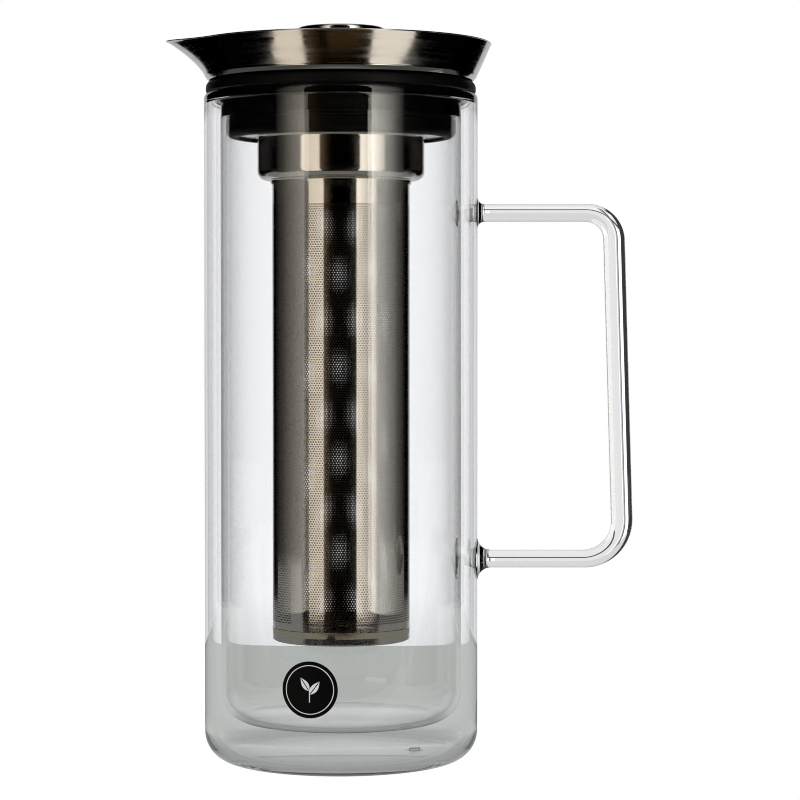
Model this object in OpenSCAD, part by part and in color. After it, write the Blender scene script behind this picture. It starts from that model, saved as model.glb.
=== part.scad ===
// Double-walled glass iced tea pitcher with a steel pouring lid and a hanging infuser.
// Millimetres. The origin is the middle of the base, +Z up, the handle at +X, the spout at -X.

/* [Glass] */
// Outside diameter of the outer glass
body_d = 100; // [90:1:120]
// Height of the glass, from the table to its rim
glass_h = 246.5; // [220:0.5:280]
// Wall of the outer glass
outer_wall = 2.4; // [1.8:0.1:3.2]
// Thickness of the outer base
base_t = 3; // [2.4:0.1:4]
// Radius of the rounded heel
heel_r = 11; // [8:0.5:16]
// Air space between the two glasses
air_gap = 3.6; // [2.5:0.1:5]
// Wall of the inner glass
inner_wall = 1.8; // [1.4:0.1:2.6]
// Height of the inner glass's underside over the table
floor_lift = 14.5; // [10:0.5:20]
// Outside corner radius at the bottom of the inner glass
inner_corner = 11; // [6:0.5:14]
// Height of the web that joins the two glasses at the rim
rim_t = 2.6; // [2:0.1:4]
// Rounding of the rim's edges
rim_round = 1.2; // [0.6:0.1:1.6]

/* [Handle] */
// Diameter of the glass rod at the grip
grip_d = 8; // [6:0.5:11]
// Diameter of the rod along its two arms
arm_d = 6.5; // [5:0.5:9]
// Height of the upper arm's middle
handle_top = 200.6; // [180:0.2:205]
// Height of the lower arm's middle
handle_bottom = 73.8; // [60:0.2:90]
// From the glass to the grip's middle, at the upper bend
handle_reach = 50; // [40:0.2:60]
// Radius of the upper bend, at the rod's middle
bend_top = 10; // [8:0.5:16]
// Radius of the lower bend, at the rod's middle
bend_bottom = 14; // [8:0.5:20]
// Lean of the grip, out towards the bottom, in degrees
grip_lean = 1.7; // [0:0.1:3]
// Fillet radius of the upper foot
foot_top = 2.6; // [1:0.1:5]
// Fillet radius of the lower foot
foot_bottom = 5; // [2:0.1:7]

/* [Vent plug] */
// Diameter of the vent through the outer base
vent_d = 4; // [3:0.2:5]
// Diameter of the plug's head
vent_head_d = 6; // [5.4:0.2:9]
// Depth of the pocket that holds the plug's head
vent_pocket = 1.2; // [0.8:0.1:1.6]
// How deep the plug's head sits under the base
vent_recess = 0.3; // [0.1:0.1:0.5]
// Distance of the vent from the axis
vent_offset = 28.5; // [15:0.5:30]
// Direction of the vent about the axis, in degrees
vent_turn = -18; // [-180:1:180]

/* [Sticker] */
// Diameter of the round sticker
label_d = 20; // [12:1:30]
// Thickness of the sticker
label_t = 0.15; // [0.1:0.05:0.3]
// Height of the sticker's middle
label_z = 32; // [28:1:120]
// Turn of the sticker from the front towards the spout, in degrees
label_turn = 11.6; // [-60:0.2:60]

/* [Lid collar] */
// Height of the steel collar, from its floor to its rim
collar_h = 13.8; // [12:0.1:24]
// How far the collar's foot lies inside the glass's outside
collar_inset = 0.3; // [0:0.1:1.5]
// How far the collar flares out from foot to rim
collar_flare = 4.8; // [2:0.1:8]
// Thickness of the collar's sheet steel
collar_sheet = 0.8; // [0.6:0.1:1.2]
// Outside radius of the collar's rounded foot
collar_round = 2; // [1.4:0.1:3]
// How far the spout's tip stands out from the rim
spout_reach = 9.5; // [6:0.5:14]
// How far the spout's tip rises over the rim
spout_rise = 2.2; // [0:0.1:4]

/* [Stopper] */
// Thickness of the seal's flange on the rim
flange_t = 2; // [1.4:0.1:3]
// How far the flange's edge lies inside the glass's outside
flange_inset = 0.7; // [0.3:0.1:2]
// Depth of the stopper in the glass
plug_depth = 19; // [15:0.5:24]
// Gap between a sealing lip and the glass
lip_gap = 0.3; // [0.2:0.05:0.5]
// Depth of the notch under the upper lip
notch_drop = 10.1; // [7:0.1:11]
// Depth of the notch into the seal
notch_depth = 1.2; // [0.6:0.1:2]
// Width of the lock ring, from the core's skirt out to the recess
lock_w = 7.8; // [6:0.2:9]
// Wall of the core's skirt
skirt_wall = 2.6; // [1.8:0.1:3.4]
// How far the core's top flange stands out from its skirt
core_flange_w = 4; // [2:0.5:8]
// Thickness of the core's top flange
core_flange_t = 2; // [1.4:0.1:3]
// Width of the valve's seat, in from the skirt
seat_w = 5.4; // [3:0.2:7]
// Wall of the seal round its bottom recess
recess_wall = 4.1; // [3.6:0.1:6]
// Thickness of the lock ring
lock_t = 3; // [2:0.2:4]

/* [Valve] */
// Outside radius of the knob
knob_r = 15.9; // [12:0.1:18]
// How far the knob stands over the collar's rim
knob_proud = 5.8; // [2:0.2:10]
// Height of the knob's steel cap
knob_h = 11; // [8:0.5:14]
// Sheet of the knob's steel cap
knob_sheet = 0.8; // [0.6:0.1:1.2]
// Radius of the waist under the knob
waist_r = 10; // [6:0.5:11]
// How far the valve's disc laps over the throat
disc_lap = 3; // [2:0.2:4]
// Thickness of the valve's disc
disc_t = 2.5; // [1.8:0.1:3]
// Thickness of the valve's seal ring
valve_seal_t = 1.5; // [1:0.1:2]
// Radius of the valve's stem
stem_r = 3; // [2.5:0.1:4]
// Lift of the valve
valve_lift = 9; // [5:0.5:10]
// Height of the stem's guide
hub_h = 7; // [5:0.5:8]
// Wall of the stem's guide
hub_wall = 3; // [2:0.2:4]
// Thickness of the stem's clip
clip_t = 1.2; // [0.8:0.1:1.6]

/* [Infuser] */
// Height of the infuser's underside over the floor of the inner glass
infuser_clear = 28; // [22:0.1:60]
// Step from the infuser's collar in to the perforated tube
tube_step = 5.4; // [2.5:0.1:8]
// Sheet of the perforated tube
tube_sheet = 0.5; // [0.4:0.05:0.8]
// How far the infuser's collar stands out from the core's skirt
neck_step = 0.5; // [0.2:0.1:0.6]
// Height of the infuser's collar under its flange
neck_h = 15.8; // [10:0.2:24]
// Sheet of the infuser's collar
neck_sheet = 0.6; // [0.5:0.05:0.9]
// Thickness of the infuser's rolled flange
infuser_flange_t = 1.2; // [1:0.1:1.8]
// Height of the infuser's base cap
base_cap_h = 5; // [3:0.5:10]

/* [Hidden] */
$fn = 96;
glass_colour = [0.86, 0.9, 0.92, 0.35];
steel_colour = [0.72, 0.71, 0.69];
black_colour = [0.05, 0.05, 0.06];
// Overrun of a cut past the face that it opens
cut = 1;
// Clearance of a fit that is put together by hand
hand_fit = 0.3;
// Radial clearance of the stem in its guide
running_fit = 0.05;
// Small rounding on moulded and pressed edges
edge_round = 0.8;
// Rounding at the stopper's lower edge and at the foot of the infuser's collar
plug_round = 3.2;
neck_round = 2;
// Glass radii
body_r = body_d / 2;
sleeve_r = body_r - outer_wall;
inner_r = sleeve_r - air_gap;
bore_r = inner_r - inner_wall;
inner_floor = floor_lift + inner_wall;
// Lid levels
seal_top = glass_h + flange_t;
plug_low = glass_h - plug_depth;
floor_top = seal_top + collar_sheet;
seat_z = floor_top + core_flange_t;
rim_z = seal_top + collar_h;
collar_r = body_r - collar_inset;
lip_r = bore_r - lip_gap;
recess_r = lip_r - recess_wall;
skirt_r = recess_r - lock_w;
core_flange_r = skirt_r + core_flange_w;
throat_r = skirt_r - skirt_wall - seat_w;
floor_hole_r = skirt_r + hand_fit;
// Infuser levels, hung from the stopper's recess, whose lip stands a little lower than the flange
recess_lip = 0.7;
infuser_flange_low = plug_low + recess_lip;
infuser_top = infuser_flange_low + infuser_flange_t;
neck_low = infuser_flange_low - neck_h;
infuser_low = inner_floor + infuser_clear;
infuser_flange_r = recess_r - hand_fit;
neck_r = skirt_r + neck_step;
tube_r = neck_r - tube_step;
// Height of the short neck that the tube is welded into
tube_neck = 1.4;
// Valve levels
disc_low = seat_z + valve_seal_t;
disc_top = disc_low + disc_t;
disc_r = throat_r + disc_lap;
knob_top = rim_z + knob_proud;
knob_low = knob_top - knob_h;
hub_top = seal_top - edge_round;
hub_low = hub_top - hub_h;
clip_top = hub_low - valve_lift - hand_fit;
clip_low = clip_top - clip_t;
stem_low = clip_low - clip_t;
clip_neck_r = stem_r - edge_round;
clip_reach = 2.4;
clip_r = stem_r + clip_reach;
clip_slot = 2 * clip_neck_r - edge_round;
// Spokes of the stem's guide
spokes = 3;
spoke_w = 3;

// Half outline from the axis to a radius, with a rounded lower and upper corner
module band(radius, low, high, round_low, round_high) {
    difference() {
        translate([0, low]) square([radius, high - low]);
        if (round_low > 0) translate([radius - round_low, low])
            difference() {
                translate([0, -cut]) square([round_low + cut, round_low + cut]);
                translate([0, round_low]) circle(round_low);
            }
        if (round_high > 0) translate([radius - round_high, high - round_high])
            difference() {
                square([round_high + cut, round_high + cut]);
                circle(round_high);
            }
    }
}

// Turned tube between two radii
module tube(inner, outer, low, high) {
    rotate_extrude() translate([inner, low]) square([outer - inner, high - low]);
}

module outer_glass() color(glass_colour)
    difference() {
        rotate_extrude() difference() {
            band(body_r, 0, glass_h, heel_r, rim_round);
            band(sleeve_r, base_t, glass_h + cut, heel_r - outer_wall, 0);
        }
        at_vent() translate([0, 0, -cut]) cylinder(d = vent_d, h = base_t + 2 * cut);
        at_vent() translate([0, 0, -cut]) cylinder(d = vent_head_d, h = vent_pocket + cut);
    }

module inner_glass() color(glass_colour)
    rotate_extrude() difference() {
        union() {
            band(inner_r, floor_lift, glass_h, inner_corner, 0);
            translate([0, glass_h - rim_t]) square([sleeve_r, rim_t]);
        }
        band(bore_r, inner_floor, glass_h - rim_round, inner_corner - inner_wall, 0);
        rim_mouth();
    }

// Rounded mouth at the inside edge of the rim
module rim_mouth() {
    difference() {
        translate([0, glass_h - rim_round - cut]) square([bore_r + rim_round, rim_round + 2 * cut]);
        translate([bore_r + rim_round, glass_h - rim_round]) circle(rim_round);
        translate([bore_r, glass_h - rim_round - 2 * cut]) square([2 * rim_round, 2 * cut]);
    }
}

module at_vent() {
    rotate([0, 0, vent_turn]) translate([vent_offset, 0, 0]) children();
}

module vent_plug() color(glass_colour)
    at_vent() {
        translate([0, 0, vent_recess]) cylinder(d = vent_head_d, h = vent_pocket - vent_recess);
        translate([0, 0, vent_recess]) cylinder(d = vent_d, h = base_t + cut - vent_recess);
    }

// Handle: one glass rod, drawn as rings of points along its middle line
rod_r = grip_d / 2;
arm_r = arm_d / 2;
rod_sides = 24;
cap_steps = 3;
fillet_steps = 5;
bend_steps = 10;
bend_top_x = body_r + handle_reach - bend_top;
bend_top_z = handle_top - bend_top;
bend_bottom_z = handle_bottom + bend_bottom;
grip_run = (bend_top_z - bend_bottom_z - (bend_bottom - bend_top) * sin(grip_lean)) / cos(grip_lean);
bend_bottom_x = bend_top_x + grip_run * sin(grip_lean) - (bend_bottom - bend_top) * cos(grip_lean);
grip_heading = 90 - grip_lean;
// A ring is [x, z, heading below +X, radius, how closely it follows the round of the glass]
function cap_ring(z, heading, fillet, share) = [body_r, z, heading, share * (arm_r + fillet), 1];
function fillet_ring(z, heading, fillet, a) =
    [body_r + fillet * (1 - cos(a)), z, heading, arm_r + fillet * (1 - sin(a)), cos(a)];
function bend_ring(x, z, radius, heading, share) =
    [x + radius * sin(heading), z + radius * cos(heading), heading, arm_r + share * (rod_r - arm_r), 0];
rod_rings = concat(
    [for (i = [1 : cap_steps - 1]) cap_ring(handle_top, 0, foot_top, i / cap_steps)],
    [for (i = [0 : fillet_steps]) fillet_ring(handle_top, 0, foot_top, 90 * i / fillet_steps)],
    [for (i = [0 : bend_steps])
        bend_ring(bend_top_x, bend_top_z, bend_top, grip_heading * i / bend_steps, i / bend_steps)],
    [for (i = [0 : bend_steps])
        bend_ring(bend_bottom_x, bend_bottom_z, bend_bottom,
            grip_heading + (180 - grip_heading) * i / bend_steps, 1 - i / bend_steps)],
    [for (i = [fillet_steps : -1 : 0]) fillet_ring(handle_bottom, 180, foot_bottom, 90 * i / fillet_steps)],
    [for (i = [cap_steps - 1 : -1 : 1]) cap_ring(handle_bottom, 180, foot_bottom, i / cap_steps)]);
function hug(y) = body_r - sqrt(body_r * body_r - y * y);
function rod_point(ring, a) =
    let (out = ring[3] * cos(a), y = ring[3] * sin(a))
    [ring[0] + out * sin(ring[2]) - ring[4] * hug(y), y, ring[1] + out * cos(ring[2])];

module handle() color(glass_colour) {
    last = len(rod_rings) - 1;
    points = concat(
        [for (ring = rod_rings, k = [0 : rod_sides - 1]) rod_point(ring, 360 * k / rod_sides)],
        [[body_r, 0, handle_top], [body_r, 0, handle_bottom]]);
    top_middle = len(points) - 2;
    bottom_middle = len(points) - 1;
    walls = [for (i = [0 : last - 1], k = [0 : rod_sides - 1])
        let (here = i * rod_sides, next = here + rod_sides, m = (k + 1) % rod_sides)
        for (f = [[here + k, here + m, next + m], [here + k, next + m, next + k]]) f];
    caps = [for (k = [0 : rod_sides - 1]) let (m = (k + 1) % rod_sides)
        for (f = [[top_middle, m, k],
            [bottom_middle, last * rod_sides + k, last * rod_sides + m]]) f];
    polyhedron(points, concat(walls, caps));
}

module label() color(black_colour)
    intersection() {
        tube(body_r, body_r + label_t, label_z - label_d, label_z + label_d);
        rotate([0, 0, -label_turn]) translate([0, 0, label_z]) rotate([90, 0, 0])
            cylinder(d = label_d, h = body_d);
    }

// Flared steel collar with its spout, drawn as rings of points about the axis
collar_steps = 120;
wall_steps = 6;
corner_steps = 3;
collar_bow = 0.25;
tip_softness = 5;
spout_power = 1.7;
rim_r = collar_r + collar_flare;
spout_half = acos(rim_r / (rim_r + spout_reach)) + tip_softness;
// Angle from the spout's middle, softened so that the tip is round
function spout_angle(turn) = sqrt(pow(min(turn, 360 - turn), 2) + pow(tip_softness, 2));
function spout_share(turn) = max(0, 1 - spout_angle(turn) / spout_half);
function spout_out(turn) = spout_share(turn) > 0 ? rim_r / cos(spout_half - spout_angle(turn)) - rim_r : 0;
function rim_height(turn) = rim_z + spout_rise * pow(spout_share(turn), 2);
function wall_r(turn, t) = collar_r + collar_flare * t * (1 + collar_bow * (1 - t))
    + spout_out(turn) * pow(t, spout_power);
foot_z = seal_top + collar_round;
function wall_point(turn, t, inset) =
    [wall_r(turn, t) - inset, foot_z + t * (rim_height(turn) - foot_z)];
function corner_point(a, inset) =
    [collar_r - collar_round + (collar_round - inset) * cos(a), foot_z - (collar_round - inset) * sin(a)];
// Closed section of the sheet at one angle: down the outside, under the floor, and up the inside
function collar_section(turn) = concat(
    [for (i = [wall_steps : -1 : 0]) wall_point(turn, i / wall_steps, 0)],
    [for (i = [1 : corner_steps]) corner_point(90 * i / corner_steps, 0)],
    [[floor_hole_r, seal_top], [floor_hole_r, floor_top]],
    [for (i = [corner_steps : -1 : 1]) corner_point(90 * i / corner_steps, collar_sheet)],
    [for (i = [0 : wall_steps]) wall_point(turn, i / wall_steps, collar_sheet)]);
section_size = 2 * wall_steps + 2 * corner_steps + 4;

module lid_collar() color(steel_colour) {
    points = [for (k = [0 : collar_steps - 1]) let (turn = 360 * k / collar_steps)
        for (p = collar_section(turn)) [-p[0] * cos(turn), -p[0] * sin(turn), p[1]]];
    faces = [for (k = [0 : collar_steps - 1], i = [0 : section_size - 1])
        let (here = k * section_size, next = (k + 1) % collar_steps * section_size,
            j = (i + 1) % section_size)
        for (f = [[here + i, next + i, next + j], [here + i, next + j, here + j]]) f];
    polyhedron(points, faces);
}

module stopper_seal() color(black_colour)
    rotate_extrude() difference() {
        union() {
            band(body_r - flange_inset, glass_h, seal_top, edge_round, edge_round);
            band(lip_r, glass_h - notch_drop, glass_h, edge_round, edge_round);
            band(lip_r, plug_low, glass_h - notch_drop, plug_round, edge_round);
        }
        translate([lip_r, glass_h - notch_drop]) circle(notch_depth);
        translate([0, plug_low - cut]) square([skirt_r, plug_depth + flange_t + 2 * cut]);
        translate([0, plug_low - cut]) square([recess_r, infuser_top + lock_t - plug_low + cut]);
    }

module lid_core() color(black_colour) {
    skirt_in = skirt_r - skirt_wall;
    rotate_extrude() difference() {
        union() {
            band(core_flange_r, floor_top, seat_z, 0, edge_round);
            translate([0, infuser_top]) square([skirt_r, seat_z - infuser_top]);
        }
        translate([0, infuser_top - cut]) square([throat_r, seat_z - infuser_top + 2 * cut]);
        translate([0, infuser_top - cut]) square([skirt_in, floor_top - infuser_top + cut]);
    }
    difference() {
        union() {
            translate([0, 0, hub_low]) cylinder(r = stem_r + running_fit + hub_wall, h = hub_h);
            for (k = [0 : spokes - 1]) rotate([0, 0, k * 360 / spokes])
                translate([0, -spoke_w / 2, hub_low]) cube([skirt_in + skirt_wall / 2, spoke_w, hub_h]);
        }
        translate([0, 0, hub_low - cut]) cylinder(r = stem_r + running_fit, h = hub_h + 2 * cut);
    }
}

module lock_ring() color(black_colour)
    tube(skirt_r, recess_r, infuser_top, infuser_top + lock_t);

module knob_cap() color(steel_colour)
    rotate_extrude() difference() {
        band(knob_r, knob_low, knob_top, 0, edge_round + knob_sheet);
        band(knob_r - knob_sheet, knob_low - cut, knob_top - knob_sheet, 0, edge_round);
    }

module valve_plug() color(black_colour)
    rotate_extrude() difference() {
        union() {
            band(disc_r, disc_low, disc_top, 0, edge_round);
            band(waist_r, disc_low, knob_top - 2 * knob_sheet, 0, 0);
            band(knob_r - knob_sheet, knob_low, knob_top - knob_sheet, 0, edge_round);
            band(stem_r, stem_low, disc_top, 0, 0);
        }
        translate([clip_neck_r, clip_low]) square([stem_r, clip_t]);
    }

module valve_seal() color(black_colour)
    tube(throat_r + edge_round, disc_r, seat_z, disc_low);

module stem_clip() color(steel_colour)
    difference() {
        tube(clip_neck_r, clip_r, clip_low, clip_top);
        translate([0, -clip_slot / 2, clip_low - cut]) cube([clip_r + cut, clip_slot, clip_t + 2 * cut]);
    }

module infuser_collar() color(steel_colour)
    rotate_extrude() difference() {
        union() {
            band(infuser_flange_r, infuser_flange_low, infuser_top, edge_round / 2, edge_round / 2);
            band(neck_r, neck_low, infuser_top, neck_round, 0);
            translate([0, infuser_flange_low - neck_round]) difference() {
                square([neck_r + neck_round, neck_round + infuser_flange_t / 2]);
                translate([neck_r + neck_round, 0]) circle(neck_round);
            }
            translate([0, neck_low - tube_neck]) square([tube_r + neck_sheet, tube_neck + neck_round]);
        }
        band(neck_r - neck_sheet, neck_low + neck_sheet, infuser_top + cut, neck_round - neck_sheet, 0);
        translate([0, neck_low - tube_neck - cut]) square([tube_r, tube_neck + neck_round]);
    }

module infuser_tube() color(steel_colour)
    tube(tube_r - tube_sheet, tube_r, infuser_low + neck_sheet, neck_low + neck_sheet);

module infuser_base() color(steel_colour)
    rotate_extrude() difference() {
        band(tube_r + neck_sheet, infuser_low, infuser_low + base_cap_h, 2 * neck_sheet, 0);
        translate([0, infuser_low + neck_sheet]) square([tube_r, base_cap_h]);
    }

outer_glass();
inner_glass();
handle();
vent_plug();
label();
lid_collar();
stopper_seal();
lid_core();
lock_ring();
knob_cap();
valve_plug();
valve_seal();
stem_clip();
infuser_collar();
infuser_tube();
infuser_base();
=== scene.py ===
# Iced tea pitcher: the looks of a double-walled glass jug, its steel pouring lid and its infuser.
# Outlines are (radius, height) points in millimetres. Meshes and the stage are made in metres.
import math

import bpy
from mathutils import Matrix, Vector


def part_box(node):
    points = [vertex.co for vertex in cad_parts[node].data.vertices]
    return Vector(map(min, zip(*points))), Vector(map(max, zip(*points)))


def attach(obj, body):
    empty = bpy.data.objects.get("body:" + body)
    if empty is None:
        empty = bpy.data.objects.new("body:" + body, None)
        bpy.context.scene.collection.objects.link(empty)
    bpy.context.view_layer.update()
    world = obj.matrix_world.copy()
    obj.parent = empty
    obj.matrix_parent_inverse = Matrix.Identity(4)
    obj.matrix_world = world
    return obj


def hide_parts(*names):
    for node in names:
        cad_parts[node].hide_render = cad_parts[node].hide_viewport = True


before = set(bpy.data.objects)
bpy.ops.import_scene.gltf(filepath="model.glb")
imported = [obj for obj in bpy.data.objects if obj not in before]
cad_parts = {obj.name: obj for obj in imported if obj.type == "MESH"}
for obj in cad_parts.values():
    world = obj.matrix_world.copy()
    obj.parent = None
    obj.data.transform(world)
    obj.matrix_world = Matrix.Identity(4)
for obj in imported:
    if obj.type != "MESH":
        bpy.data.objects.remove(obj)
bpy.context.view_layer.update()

MM = 0.001
TINY = 1e-6
SEGMENTS = 192
SHARP_EDGE = math.radians(35)
FUSED_EDGE = math.radians(50)
ALL_SMOOTH = math.pi


# Sizes from the frame
def size(node):
    """Lowest and highest corner of a CAD node, in millimetres."""
    low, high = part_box(node)
    return low / MM, high / MM


GLASS_HIGH = size("outer_glass")[1]
INNER_LOW, INNER_HIGH = size("inner_glass")
ROD_LOW, ROD_HIGH = size("handle")
VENT_LOW, VENT_HIGH = size("vent_plug")
LABEL_LOW, LABEL_HIGH = size("label")
COLLAR_LOW, COLLAR_HIGH = size("lid_collar")
SEAL_LOW, SEAL_HIGH = size("stopper_seal")
KNOB_LOW, KNOB_HIGH = size("knob_cap")
NECK_LOW, NECK_HIGH = size("infuser_collar")
TUBE_LOW, TUBE_HIGH = size("infuser_tube")
BASE_LOW, BASE_HIGH = size("infuser_base")


# Outlines and turned meshes
def round_angles(count):
    """Evenly spaced angles of one whole turn."""
    return [2 * math.pi * k / count for k in range(count)]


def arc(middle_r, middle_z, radius, start, stop, steps=8):
    """Points of an arc in an outline, from one angle to another in degrees."""
    angles = [math.radians(start + (stop - start) * i / steps) for i in range(steps + 1)]
    return [(middle_r + radius * math.cos(a), middle_z + radius * math.sin(a)) for a in angles]


def run(start, stop, steps):
    """Evenly spaced points of a straight stretch of an outline, without its ends."""
    shares = [i / steps for i in range(1, steps)]
    return [tuple(a + (b - a) * s for a, b in zip(start, stop)) for s in shares]


def new_object(name, points, faces, finish=None, sharp=SHARP_EDGE):
    """Smooth-shaded object from points in millimetres."""
    mesh = bpy.data.meshes.new(name)
    mesh.from_pydata([Vector(p) * MM for p in points], [], faces)
    mesh.validate()
    mesh.shade_smooth()
    mesh.set_sharp_from_angle(angle=sharp)
    thing = bpy.data.objects.new(name, mesh)
    bpy.context.scene.collection.objects.link(thing)
    if finish:
        mesh.materials.append(finish)
    return thing


def turned(outlines, segments=SEGMENTS):
    """Points and faces of outlines turned about the axis. A closed outline repeats its first point."""
    points, faces = [], []
    for outline in outlines:
        closed = outline[0] == outline[-1]
        rings = []
        for r, z in outline[:-1] if closed else outline:
            first = len(points)
            count = 1 if r < TINY else segments
            points += [(r * math.cos(a), r * math.sin(a), z) for a in round_angles(segments)[:count]]
            rings.append(range(first, first + count))
        if closed:
            rings.append(rings[0])
        for below, above in zip(rings, rings[1:]):
            for k in range(segments):
                m = (k + 1) % segments
                loop = [below[k % len(below)], below[m % len(below)]]
                loop += [above[m % len(above)], above[k % len(above)]]
                face = list(dict.fromkeys(loop))
                if len(face) > 2:
                    faces.append(face)
    return points, faces


def lathe(name, outlines, finish):
    """Object turned from outlines."""
    return new_object(name, *turned(outlines), finish)


def place(piece, body, slot, *nodes):
    """The piece rides on a body and stands for CAD nodes, which it hides. Its slot is not used."""
    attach(piece, body)
    if nodes:
        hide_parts(*nodes)


# Materials
NOISE_LOW = 0.3
NOISE_HIGH = 0.7


def material(name, **settings):
    """New material with its Principled shader's sockets set."""
    made = bpy.data.materials.new(name)
    made.use_nodes = True
    for socket, value in settings.items():
        shader_of(made).inputs[socket.replace("_", " ")].default_value = value
    return made


def shader_of(made):
    """The Principled shader of a material."""
    return made.node_tree.nodes["Principled BSDF"]


def node(made, kind, **settings):
    """New node in a material or a world, with its settings and its named inputs."""
    thing = made.node_tree.nodes.new(kind)
    for key, value in settings.items():
        if hasattr(thing, key):
            setattr(thing, key, value)
        else:
            thing.inputs[key.replace("_", " ")].default_value = value
    return thing


def link(made, source, target):
    """Wire from one socket to another."""
    made.node_tree.links.new(source, target)


def map_range(made, value, from_low, from_high, to_low, to_high):
    """A value carried over from one range to another, and held at its ends."""
    limits = {"From_Min": from_low, "From_Max": from_high, "To_Min": to_low, "To_Max": to_high}
    scale = node(made, "ShaderNodeMapRange", **limits)
    link(made, value, scale.inputs["Value"])
    return scale.outputs["Result"]


def noise(made, scale, detail=2.0, stretch=(1.0, 1.0, 1.0)):
    """Noise in the object's own space, with features about 1 / scale metres across."""
    spot = node(made, "ShaderNodeTexCoord")
    mapping = node(made, "ShaderNodeMapping", Scale=stretch)
    texture = node(made, "ShaderNodeTexNoise", Scale=scale, Detail=detail)
    link(made, spot.outputs["Object"], mapping.inputs["Vector"])
    link(made, mapping.outputs["Vector"], texture.inputs["Vector"])
    return texture.outputs["Fac"]


def vary_roughness(made, value, low, high):
    """Roughness that follows a noise value, which lies mostly between NOISE_LOW and NOISE_HIGH."""
    rough = map_range(made, value, NOISE_LOW, NOISE_HIGH, low, high)
    link(made, rough, shader_of(made).inputs["Roughness"])


def add_bump(made, height, strength, distance):
    """Small unevenness that follows a noise value."""
    bump = node(made, "ShaderNodeBump", Strength=strength, Distance=distance)
    link(made, height, bump.inputs["Height"])
    link(made, bump.outputs["Normal"], shader_of(made).inputs["Normal"])


def clear_glass():
    """Hand-blown glass: clear, a little wavy, faintly cool."""
    tint = (0.996, 0.998, 0.997, 1)
    made = material("clear_glass", Base_Color=tint, Roughness=0.0, IOR=1.47, Transmission_Weight=1.0)
    waves = noise(made, scale=26.0, detail=1.0, stretch=(1.0, 1.0, 0.35))
    add_bump(made, waves, strength=0.05, distance=0.001)
    return made


def brushed_steel(name, colour, roughness, grain, streak):
    """Steel brushed round the axis, with streaks that run level."""
    made = material(name, Metallic=1.0, Base_Color=(*colour, 1))
    streaks = noise(made, scale=900.0, detail=3.0, stretch=(grain, grain, 1.0))
    vary_roughness(made, streaks, roughness - streak, roughness + streak)
    add_bump(made, streaks, strength=0.03, distance=0.0002)
    return made


def black_silicone():
    """Black silicone with a soft bloom."""
    made = material("black_silicone", Base_Color=(0.0015, 0.0015, 0.0016, 1), Specular_IOR_Level=0.12)
    vary_roughness(made, noise(made, scale=180.0, detail=3.0), low=0.42, high=0.55)
    return made


def black_plastic():
    """Satin black plastic with a fine moulded grain."""
    made = material("black_plastic", Base_Color=(0.012, 0.012, 0.013, 1), IOR=1.5)
    grain = noise(made, scale=2600.0)
    vary_roughness(made, grain, low=0.32, high=0.46)
    add_bump(made, grain, strength=0.12, distance=0.0001)
    return made


def clear_silicone():
    """Soft clear plug, a little cloudy."""
    made = material("clear_silicone", Base_Color=(0.95, 0.97, 0.97, 1), IOR=1.41, Transmission_Weight=0.95)
    vary_roughness(made, noise(made, scale=700.0), low=0.08, high=0.2)
    return made


def printed_film(name, colour):
    """Printed film of the sticker."""
    made = material(name, Base_Color=(*colour, 1), Specular_IOR_Level=0.12)
    speck = noise(made, scale=1800.0)
    vary_roughness(made, speck, low=0.3, high=0.5)
    add_bump(made, speck, strength=0.08, distance=0.00005)
    return made


STEEL_TINT = (0.76, 0.715, 0.665)
COLLAR_TINT = (0.487, 0.467, 0.437)
CAP_TINT = (0.8, 0.7, 0.56)
# Near-black tint for the walls of the sieve's holes: painted shade inside the holes
HOLE_PAINTED_SHADE = (0.03, 0.028, 0.025)
FILM_DARK = (0.002, 0.002, 0.002)
FILM_LIGHT = (0.75, 0.75, 0.74)
GLASS = clear_glass()
COLLAR_STEEL = brushed_steel("brushed_sheet", COLLAR_TINT, roughness=0.13, grain=0.06, streak=0.05)
POLISHED = brushed_steel("polished_steel", STEEL_TINT, roughness=0.1, grain=0.1, streak=0.03)
CAP_STEEL = brushed_steel("cap_steel", CAP_TINT, roughness=0.1, grain=0.1, streak=0.03)
SIEVE_STEEL = brushed_steel("perforated_steel", STEEL_TINT, roughness=0.09, grain=0.1, streak=0.02)
HOLE_SHADE_STEEL = brushed_steel("hole_painted_shade", HOLE_PAINTED_SHADE, roughness=0.45, grain=0.1, streak=0.05)
SILICONE = black_silicone()
PLASTIC = black_plastic()
PLUG_CLEAR = clear_silicone()
FILM_BLACK = printed_film("sticker_black", FILM_DARK)
FILM_PALE = printed_film("sticker_pale", FILM_LIGHT)

# Glass jug: both walls and the handle are one piece of glass, with a rim a little lower than in the solids
BODY_R = GLASS_HIGH.x
GLASS_H = GLASS_HIGH.z
RIM_DROP = 2.2
RIM_TOP = GLASS_H - RIM_DROP
SLEEVE_R = INNER_HIGH.x
FLOOR_LIFT = INNER_LOW.z
BASE_T = 3.0
HEEL_R = 11.0
OUTER_WALL = BODY_R - SLEEVE_R
INNER_WALL = 1.8
AIR_GAP = 3.6
INNER_R = SLEEVE_R - AIR_GAP
BORE_R = INNER_R - INNER_WALL
INNER_CORNER = 11.0
INNER_FLOOR = FLOOR_LIFT + INNER_WALL
RIM_T = 2.6
RIM_ROUND = 1.2
OUTER_ROUND = 2.4
HEEL_STEPS = 20
CORNER_STEPS = 16
ARCH_STEPS = 12
OUTER_STEPS = 60
INNER_STEPS = 30


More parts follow.
